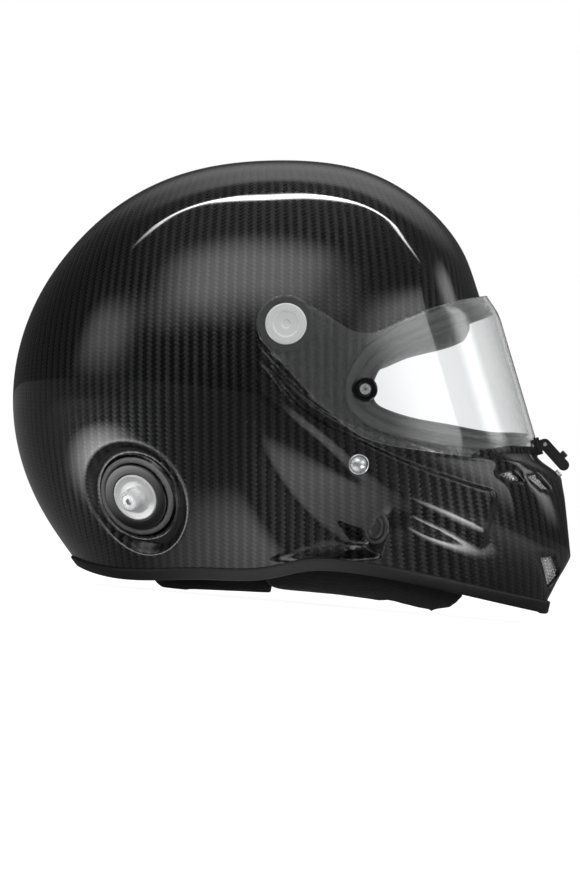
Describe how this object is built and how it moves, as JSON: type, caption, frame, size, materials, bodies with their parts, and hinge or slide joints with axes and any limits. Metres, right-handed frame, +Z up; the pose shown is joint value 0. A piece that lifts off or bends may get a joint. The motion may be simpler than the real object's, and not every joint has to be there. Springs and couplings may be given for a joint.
{
  "type": "auto racing helmet",
  "caption": "Full-face auto racing helmet with a carbon shell, hinged clear visor with latch, head-restraint anchors, padded liner and D-ring chin strap.",
  "frame": {"origin": "under the middle of the length and width, on the surface the helmet stands on", "axes": "+X forward, the way the wearer faces; +Y to the wearer's left; +Z up with the helmet standing level"},
  "size_m": [0.3613, 0.2752, 0.2795],
  "materials": {
    "carbon": "gloss",
    "rubber": "matte",
    "gasket_rubber": "satin",
    "foam": "matte",
    "knit": "matte",
    "webbing": "matte",
    "clear": "gloss",
    "aluminium": "satin",
    "steel": "satin",
    "mesh": "matte",
    "black_plastic": "satin"
  },
  "bodies": {
    "shell": {"outer_shell": "carbon", "edge_trim": "rubber", "eyeport_gasket": "gasket_rubber", "crown_foam_liner": "foam", "chin_foam_liner": "foam", "crown_comfort_pad": "knit", "brow_pad": "knit", "neck_roll": "knit", "latch_catch": "steel", "strap_long": "webbing", "strap_short": "webbing", "strap_snap": "black_plastic", "side_foam_liner_right": "foam", "side_foam_liner_left": "foam", "cheek_pad_right": "knit", "cheek_pad_left": "knit", "pivot_base_right": "black_plastic", "pivot_base_left": "black_plastic", "pivot_disc_right": "aluminium", "pivot_disc_left": "aluminium", "pivot_nut_right": "steel", "pivot_nut_left": "steel", "anchor_washer_right": "black_plastic", "anchor_washer_left": "black_plastic", "anchor_post_right": "aluminium", "anchor_post_left": "aluminium", "anchor_screw_right": "steel", "anchor_screw_left": "steel", "anchor_nut_right": "steel", "anchor_nut_left": "steel", "port_ring_right": "rubber", "port_ring_left": "rubber", "port_bung_right": "rubber", "port_bung_left": "rubber", "strap_plate_right": "steel", "strap_plate_left": "steel", "strap_rivet_right": "steel", "strap_rivet_left": "steel", "rear_vent_mesh_right": "mesh", "rear_vent_mesh_left": "mesh", "front_vent_mesh_right": "mesh", "front_vent_mesh_left": "mesh", "lower_vent_mesh_right": "mesh", "lower_vent_mesh_left": "mesh"},
    "visor": {"visor_shield": "clear", "latch_base": "black_plastic", "latch_pin": "steel", "post_washer_right": "black_plastic", "post_washer_left": "black_plastic", "tear_off_post_right": "steel", "tear_off_post_left": "steel"},
    "latch_lever": {"latch_lever": "black_plastic", "latch_knob": "black_plastic"},
    "d_rings": {"strap_ring_upper": "steel", "strap_ring_lower": "steel"}
  },
  "joints": [
    {"name": "visor_hinge", "type": "hinge", "parent": "shell", "child": "visor", "pos_m": [-0.0122, 0, 0.1747], "axis": [0, -1, 0], "range_deg": [0, 45]},
    {"name": "latch_hinge", "type": "hinge", "parent": "visor", "child": "latch_lever", "pos_m": [0.15797, 0, 0.11401], "axis": [0, -1, 0], "range_deg": [0, 40]},
    {"name": "ring_hinge", "type": "hinge", "parent": "shell", "child": "d_rings", "pos_m": [0.04114, 0.019, 0.01606], "axis": [1, 0, 0], "range_deg": [-4, 4]}
  ]
}
